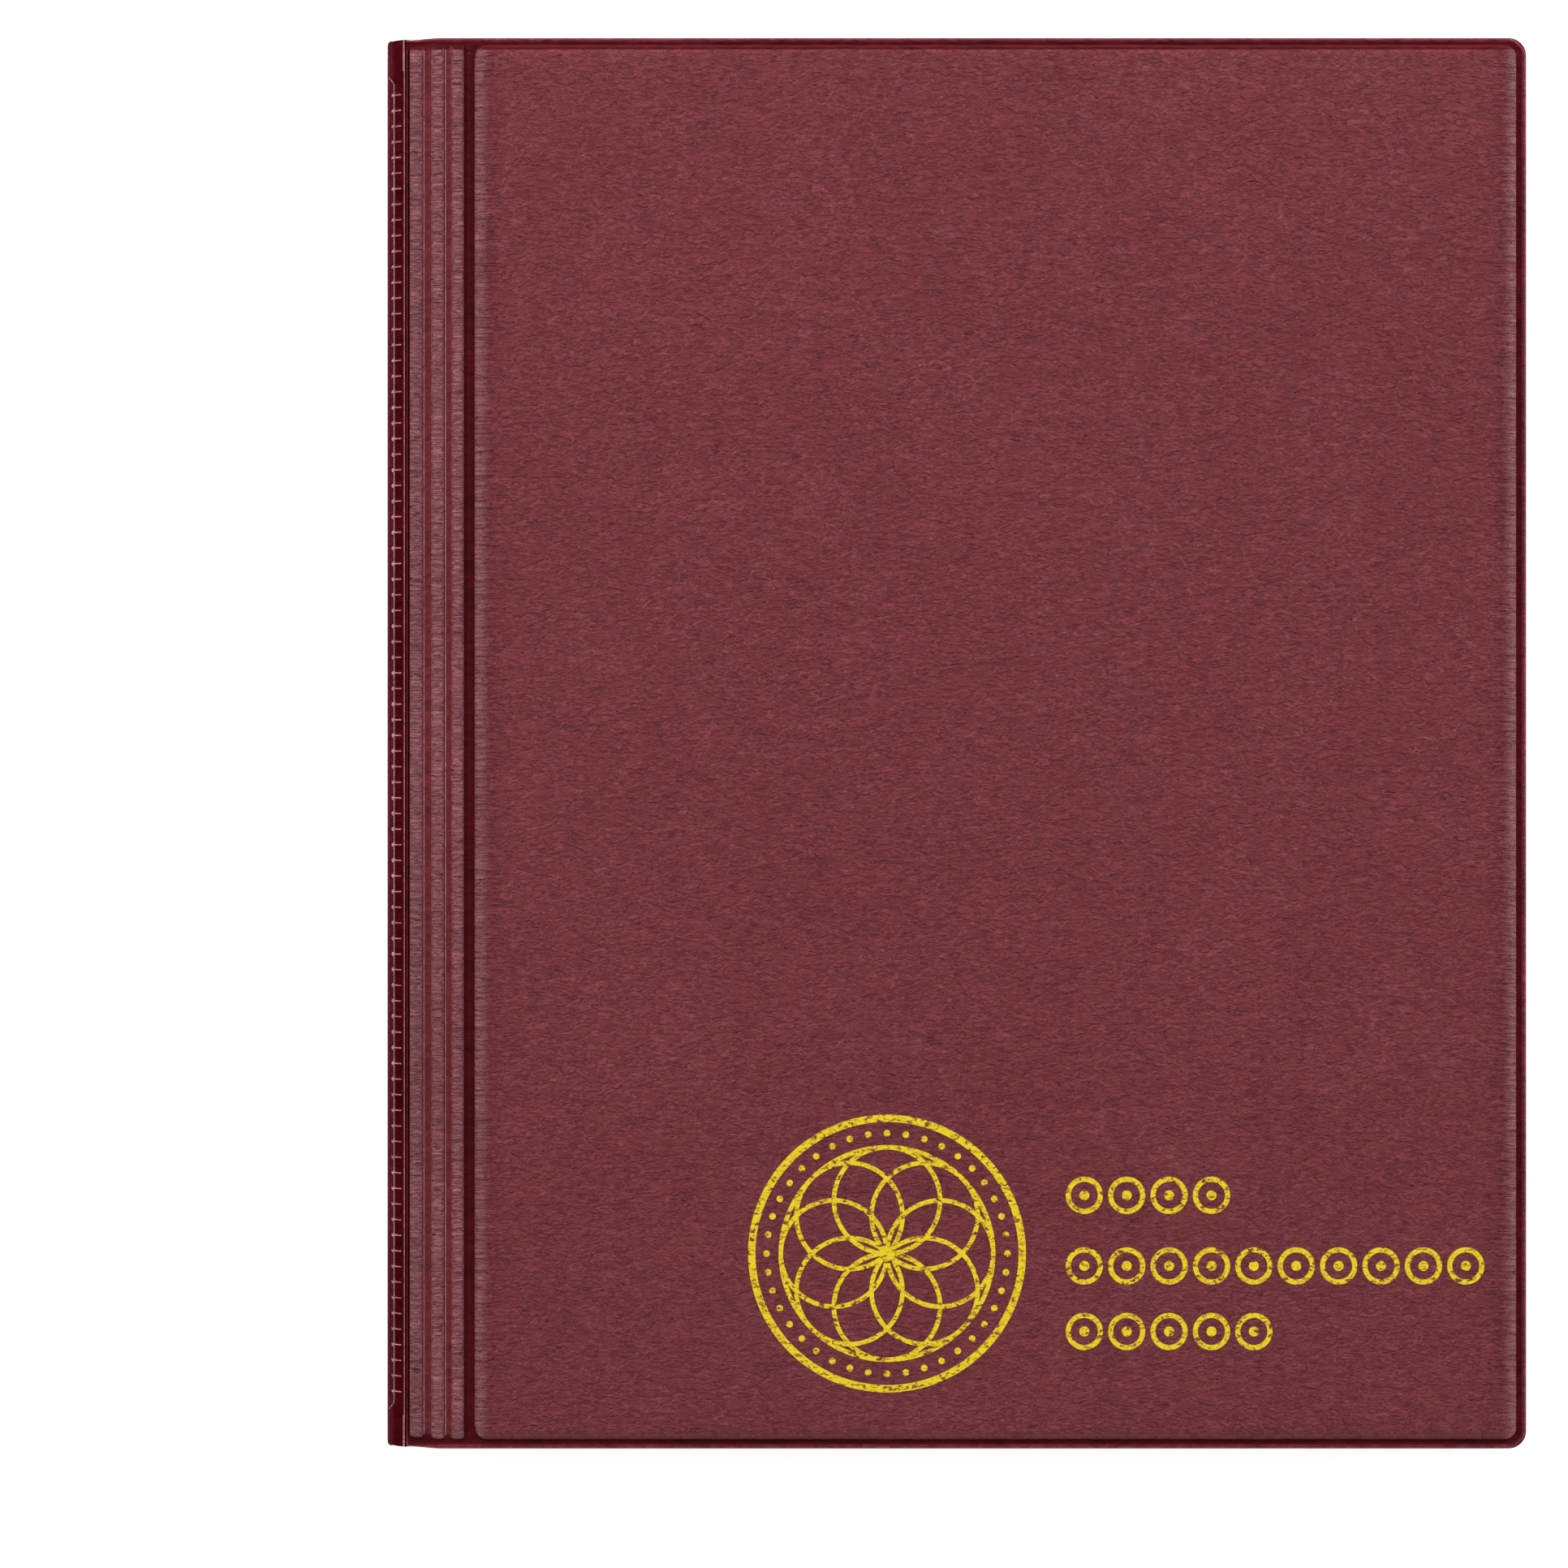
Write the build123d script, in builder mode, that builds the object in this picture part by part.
from build123d import *
from math import pi
import os

# Coin album with a padded leatherette cover, closed and lying on its back cover.
# Millimetres. +X runs from the spine to the fore-edge, +Y to the album's top, +Z out of the
# front cover. The origin is the middle of the footprint, on the surface it lies on.

os.makedirs("parts", exist_ok=True)

# --- Driving dimensions -------------------------------------------------------------------

album_width = 202.0
album_height = 250.0

# Cover: leatherette skin over foam over board, with a lining welded on behind.
skin = 0.5
foam = 0.9
board = 1.2
lining = 0.4
cover = skin + foam + board + lining
weld_skin = 0.9  # skin where it is pressed flat, in the grooves and the rim
corner_radius = 3.2
panel_radius = 2.2
rim_fore_edge = 2.1
rim_top = 1.2
rim_bottom = 2.0

# Spine: a stiffened web between two folds, with three padded flutes beside each fold.
fold_radius = 3.6
fold_thickness = weld_skin + lining
fold_drop = 1.0  # the folds lie this much below the padded panels
web_skin = 0.6
web_length = 249.2
panel_left = -85.4
flutes = [(-96.9, -94.5), (-93.1, -90.7), (-89.5, -87.2)]
flute_drop = 0.5
flute_wall = 0.5

# Leaves: clear film with five by seven pockets.
leaf_count = 10
filled_leaves = 2
columns = 5
rows = 7
pitch_x = 33.8
pitch_y = 33.2
film = 0.2
pocket_film = 0.15
empty_depth = 0.15
filled_depth = 2.0
seam_across = 1.5  # height of a seam between two rows
seam_down = 3.0  # width of a double seam between two columns
leaf_margin = 0.3
leaf_corner = 2.0
leaf_top = 118.8
pockets_left = -88.0
mouth = 6.0  # open strip under each row's top seam
flap_length = 10.0
flap_top = 29.0
flap_tip = 23.0
flap_film = 0.1
flap_gap = 0.02
stack_gap = 0.2
empty_pitch = 0.72
first_leaf_gap = 0.64

# Binding
block_left = -97.0
block_right = -93.0
block_length = 242.0
hinge_gap = 0.1
loop_film = 0.2
loop_foot = 4.0

# Coins, as the diameters in each pocket row, read from the left of the open album.
first_page = [
    [26.0, 23.0, 20.0, 18.0, 20.0],
    [22.5, 20.0, 20.0, 23.0, 18.0],
    [20.5, 18.7, 24.5, 18.5, 18.0],
    [22.0, 17.5, 20.0, 25.0, 22.0],
    [21.7, 19.3, 20.8, 24.5, 17.0],
    [18.0, 17.3, 20.0, 18.7, 25.3],
    [22.8, 18.0, 18.6, 22.4, 17.0],
]
second_page = [
    [15.8, 16.0, 19.0, 25.0, 27.4],
    [17.0, 17.0, 17.0, 20.0, 27.0],
    [16.0, 16.0, 16.7, 25.4, 22.3],
    [15.7, 15.2, 16.6, 21.0, 21.3],
    [17.0, 17.0, 15.7, 23.3, 22.5],
    [16.0, 17.6, 18.2, 16.4, 19.2],
    [16.4, 18.8, 15.8, 15.4, 15.5],
]
# (page, row, column) of the coins that are not plain discs
scalloped = {(1, 2, 2)}
seven_sided = {(2, 3, 3)}
two_metal = {(1, 5, 4), (2, 0, 3), (2, 1, 4), (2, 2, 3)}
core_share = 0.68
coin_clearance = 0.05
coin_chamfer = 0.15

# Foil stamp: a rosette medallion and three rows of small rings.
medal_x = -12.3
medal_y = -90.3
medal_radius = 24.6
medal_stroke = 1.3
bead_circle = 21.3
bead_radius = 0.6
bead_count = 40
rosette_border = 19.2
rosette_petals = 8
rosette_stroke = 0.8
ring_start = 19.3
ring_radius = 3.3
ring_stroke = 0.9
ring_dot = 0.9
ring_pitch = 7.5
ring_rows = [(-80.0, 4), (-92.5, 10), (-104.1, 5)]
foil = 0.05
foil_depth = 0.1

# --- Worked-out places --------------------------------------------------------------------

half_width = album_width / 2
half_height = album_height / 2
filled_leaf = film + filled_depth + pocket_film
empty_leaves = leaf_count - filled_leaves
leaf_bottoms = {
    leaf_count - step: cover + stack_gap + step * empty_pitch for step in range(empty_leaves + 1)
}
leaf_bottoms[1] = leaf_bottoms[2] + filled_leaf + first_leaf_gap
thickness = leaf_bottoms[1] + filled_leaf + stack_gap + cover
middle = Plane.XY.offset(thickness / 2)

lining_top = thickness - cover + lining  # where the front skin meets its lining
fold_x = -half_width + fold_radius
fold_z = thickness - fold_drop - fold_radius
web_inner = -half_width + web_skin + board + lining
panel_right = half_width - rim_fore_edge
panel_top = half_height - rim_top
panel_bottom = -half_height + rim_bottom
pockets_width = columns * pitch_x + seam_down
pockets_height = rows * pitch_y + seam_across
first_column = pockets_left + seam_down / 2
top_seam = leaf_top - seam_across / 2
leaf_right = pockets_left + pockets_width + leaf_margin
leaf_low = leaf_top - pockets_height


def rectangle(x0, y0, x1, y1, mode=Mode.ADD):
    """A rectangle between two corners, in the current sketch."""
    with Locations(((x0 + x1) / 2, (y0 + y1) / 2)):
        return Rectangle(x1 - x0, y1 - y0, mode=mode)


def cover_outline():
    """The cover's outline from the fold to the fore-edge, with its two rounded corners."""
    edge = rectangle(fold_x, -half_height, half_width, half_height)
    fillet(edge.vertices().group_by(Axis.X)[-1], corner_radius)


def save(piece, name):
    """Label one finished piece and write its STEP file."""
    piece.part.label = name
    export_step(piece.part, f"parts/{name}.step")


def save_back(front, name):
    """Write the back cover's twin of a front cover piece."""
    with BuildPart() as back:
        mirror(front.part, about=middle)
    save(back, name)


# --- Foil stamp ---------------------------------------------------------------------------

with BuildPart() as foil_stamp:
    with BuildSketch(Plane.XY.offset(thickness - foil_depth)) as stamp:
        with Locations((medal_x, medal_y)):
            Circle(medal_radius)
            Circle(medal_radius - medal_stroke, mode=Mode.SUBTRACT)
            Circle(rosette_border)
            Circle(rosette_border - rosette_stroke, mode=Mode.SUBTRACT)
            with PolarLocations(bead_circle, bead_count):
                Circle(bead_radius)
        with BuildSketch(mode=Mode.PRIVATE) as petal:
            petal_radius = (rosette_border - rosette_stroke / 2) / 2
            Circle(petal_radius + rosette_stroke / 2)
            Circle(petal_radius - rosette_stroke / 2, mode=Mode.SUBTRACT)
        with Locations((medal_x, medal_y)):
            with PolarLocations(petal_radius, rosette_petals):
                add(petal.sketch)
        for row_y, ring_count in ring_rows:
            for ring in range(ring_count):
                with Locations((ring_start + ring_radius + ring * ring_pitch, row_y)):
                    Circle(ring_radius)
                    Circle(ring_radius - ring_stroke, mode=Mode.SUBTRACT)
                    Circle(ring_dot)
    extrude(amount=foil)
save(foil_stamp, "foil_stamp")

# --- Front cover, and the back cover as its twin --------------------------------------------

with BuildPart() as front_skin:
    with BuildSketch(Plane.XY.offset(lining_top)):
        cover_outline()
    extrude(amount=weld_skin)
    with BuildSketch(Plane.XY.offset(lining_top)) as panel:
        padded = rectangle(panel_left, panel_bottom, panel_right, panel_top)
        fillet(padded.vertices(), panel_radius)
    extrude(amount=cover - lining)
    with BuildSketch(Plane.XY.offset(lining_top)):
        for flute_left, flute_right in flutes:
            rectangle(flute_left, panel_bottom, flute_right, panel_top)
    extrude(amount=cover - lining - flute_drop)
    with BuildSketch(Plane.XY.offset(lining_top)):
        offset(panel.sketch, -skin)
    extrude(amount=foam + board, mode=Mode.SUBTRACT)
    with BuildSketch(Plane.XY.offset(lining_top)):
        for flute_left, flute_right in flutes:
            rectangle(
                flute_left + flute_wall,
                panel_bottom + flute_wall,
                flute_right - flute_wall,
                panel_top - flute_wall,
            )
    extrude(amount=board, mode=Mode.SUBTRACT)

with BuildPart() as back_plain:
    mirror(front_skin.part, about=middle)
save(back_plain, "back_skin")

with BuildPart() as stamped_skin:
    add(front_skin.part)
    extrude(stamp.sketch, amount=foil_depth, mode=Mode.SUBTRACT)
save(stamped_skin, "front_skin")

with BuildPart() as front_board:
    with BuildSketch(Plane.XY.offset(lining_top)):
        offset(panel.sketch, -skin)
    extrude(amount=board)
save(front_board, "front_board")
save_back(front_board, "back_board")

with BuildPart() as front_foam:
    with BuildSketch(Plane.XY.offset(lining_top + board)):
        offset(panel.sketch, -skin)
    extrude(amount=foam)
    with BuildSketch(Plane.XY.offset(lining_top)):
        for flute_left, flute_right in flutes:
            rectangle(
                flute_left + flute_wall,
                panel_bottom + flute_wall,
                flute_right - flute_wall,
                panel_top - flute_wall,
            )
    extrude(amount=board)
save(front_foam, "front_foam")
save_back(front_foam, "back_foam")

with BuildPart() as front_lining:
    with BuildSketch(Plane.XY.offset(thickness - cover)):
        cover_outline()
    extrude(amount=lining)
save(front_lining, "front_lining")
save_back(front_lining, "back_lining")

with BuildPart() as front_fold:
    with BuildSketch(Plane.XZ):
        with Locations((fold_x, fold_z)):
            Circle(fold_radius)
            Circle(fold_radius - fold_thickness, mode=Mode.SUBTRACT)
            Rectangle(
                fold_radius, fold_radius, align=(Align.MAX, Align.MIN), mode=Mode.INTERSECT
            )
    extrude(amount=web_length / 2, both=True)
save(front_fold, "front_fold")
save_back(front_fold, "back_fold")

# --- Spine --------------------------------------------------------------------------------

web_bottom = thickness - fold_z
stiffener_lip = 0.8  # the skin turns in this far round the stiffener

with BuildPart() as spine_skin:
    with BuildSketch(Plane.XZ):
        rectangle(-half_width, web_bottom, web_inner - lining, fold_z)
    extrude(amount=web_length / 2, both=True)
    with BuildSketch(Plane.XZ):
        rectangle(
            -half_width + web_skin,
            web_bottom + stiffener_lip,
            web_inner - lining,
            fold_z - stiffener_lip,
        )
    extrude(amount=web_length / 2 - stiffener_lip, both=True, mode=Mode.SUBTRACT)
save(spine_skin, "spine_skin")

with BuildPart() as spine_stiffener:
    with BuildSketch(Plane.XZ):
        rectangle(
            -half_width + web_skin,
            web_bottom + stiffener_lip,
            web_inner - lining,
            fold_z - stiffener_lip,
        )
    extrude(amount=web_length / 2 - stiffener_lip, both=True)
save(spine_stiffener, "spine_stiffener")

with BuildPart() as spine_lining:
    with BuildSketch(Plane.XZ):
        rectangle(web_inner - lining, web_bottom, web_inner, fold_z)
    extrude(amount=web_length / 2, both=True)
save(spine_lining, "spine_lining")

# --- Binding ------------------------------------------------------------------------------

# The hinge of the first leaf stands as far in from the front fold's axis as it lies below it,
# so that the turned leaf comes to rest against the lining of the open front cover.
neutral_radius = fold_radius - weld_skin / 2
axis_shift = neutral_radius * pi / 4
front_axis_x = fold_x - axis_shift
front_axis_z = fold_z + axis_shift
first_hinge_z = leaf_bottoms[1] + film
first_hinge_x = front_axis_x + (front_axis_z - first_hinge_z)

with BuildPart() as binding_loop:
    with BuildSketch(Plane.XZ):
        rectangle(web_inner, first_hinge_z - loop_film, first_hinge_x, first_hinge_z)
        rectangle(web_inner, first_hinge_z - loop_foot, web_inner + loop_film, first_hinge_z)
    extrude(amount=block_length / 2, both=True)
save(binding_loop, "binding_loop")

block_top = leaf_bottoms[1] - first_leaf_gap + stack_gap
with BuildPart() as binding_block:
    with BuildSketch(Plane.XZ):
        rectangle(block_left, cover, block_right, block_top)
    extrude(amount=block_length / 2, both=True)
save(binding_block, "binding_block")

# --- Leaves -------------------------------------------------------------------------------

seam_rows = [top_seam - row * pitch_y for row in range(rows + 1)]
seam_columns = [first_column + column * pitch_x for column in range(columns + 1)]
flap_centres = [first_column + (column + 0.5) * pitch_x for column in range(columns)]

for leaf in range(1, leaf_count + 1):
    bottom = leaf_bottoms[leaf]
    depth = filled_depth if leaf <= filled_leaves else empty_depth
    hinge_x = (first_hinge_x if leaf == 1 else block_right) + hinge_gap
    pocket_floor = bottom + film

    with BuildPart() as backing:
        with BuildSketch(Plane.XY.offset(bottom)):
            sheet = rectangle(hinge_x, leaf_low - leaf_margin, leaf_right, leaf_top + leaf_margin)
            fillet(sheet.vertices().group_by(Axis.X)[-1], leaf_corner)
        extrude(amount=film)
    save(backing, f"leaf_{leaf:02d}_backing")

    with BuildPart() as welds:
        with BuildSketch(Plane.XY.offset(pocket_floor)):
            for seam_y in seam_rows:
                with Locations((pockets_left + pockets_width / 2, seam_y)):
                    Rectangle(pockets_width, seam_across)
            for seam_x in seam_columns:
                with Locations((seam_x, leaf_top - pockets_height / 2)):
                    Rectangle(seam_down, pockets_height)
        extrude(amount=depth)
    save(welds, f"leaf_{leaf:02d}_welds")

    with BuildPart() as pocket_strips:
        with BuildSketch(Plane.XY.offset(pocket_floor + depth)):
            for seam_above, seam_below in zip(seam_rows, seam_rows[1:]):
                rectangle(
                    pockets_left,
                    seam_below - seam_across / 2,
                    pockets_left + pockets_width,
                    seam_above - mouth,
                )
        extrude(amount=pocket_film)
    save(pocket_strips, f"leaf_{leaf:02d}_pocket_strips")

    with BuildPart() as flaps:
        with BuildSketch(Plane.XY.offset(pocket_floor + depth - flap_film - flap_gap)):
            for seam_y in seam_rows[:-1]:
                flap_y = seam_y - seam_across / 2
                for flap_x in flap_centres:
                    with BuildLine():
                        Polyline(
                            (flap_x - flap_top / 2, flap_y),
                            (flap_x + flap_top / 2, flap_y),
                            (flap_x + flap_tip / 2, flap_y - flap_length),
                            (flap_x - flap_tip / 2, flap_y - flap_length),
                            close=True,
                        )
                    make_face()
        extrude(amount=flap_film)
    save(flaps, f"leaf_{leaf:02d}_flaps")

# --- Coins --------------------------------------------------------------------------------


def coin_blank(place, diameter):
    """One coin's outline in the current sketch: scalloped, seven-sided or round."""
    if place in scalloped:
        Circle(diameter / 2 * 0.95)
        with PolarLocations(diameter / 2 * 0.87, 12):
            Circle(diameter / 2 * 0.13)
    elif place in seven_sided:
        heptagon = RegularPolygon(diameter / 2, 7)
        fillet(heptagon.vertices(), diameter / 8)
    else:
        Circle(diameter / 2)


for page, sizes in ((1, first_page), (2, second_page)):
    coin_floor = leaf_bottoms[page] + film + coin_clearance
    with BuildPart() as coins:
        for row, row_sizes in enumerate(sizes):
            for column, diameter in enumerate(row_sizes):
                place = (page, row, column)
                # the first leaf is read from behind, so its columns run from the fore-edge
                coin_x = flap_centres[columns - 1 - column if page == 1 else column]
                coin_y = (seam_rows[row] + seam_rows[row + 1]) / 2
                coin_thickness = 0.9 + 0.03 * diameter
                with BuildSketch(Plane.XY.offset(coin_floor)):
                    with Locations((coin_x, coin_y)):
                        coin_blank(place, diameter)
                        if place in two_metal:
                            Circle(diameter / 2 * core_share, mode=Mode.SUBTRACT)
                extrude(amount=coin_thickness)
                if place in two_metal:
                    with BuildPart(mode=Mode.PRIVATE) as core:
                        with BuildSketch(Plane.XY.offset(coin_floor)):
                            with Locations((coin_x, coin_y)):
                                Circle(diameter / 2 * core_share)
                        extrude(amount=coin_thickness)
                    add(core.part, clean=False)
    save(coins, f"leaf_{page:02d}_coins")

print(f"thickness {thickness:.2f}")
print(f"back fold axis x {front_axis_x:.3f} z {thickness - front_axis_z:.3f}")
print(f"front fold axis x {front_axis_x:.3f} z {front_axis_z:.3f}")
print(f"first leaf axis x {first_hinge_x:.3f} z {first_hinge_z:.3f}")
for leaf in range(2, leaf_count + 1):
    print(f"leaf {leaf} axis x {block_right:.3f} z {leaf_bottoms[leaf] + film:.3f}")
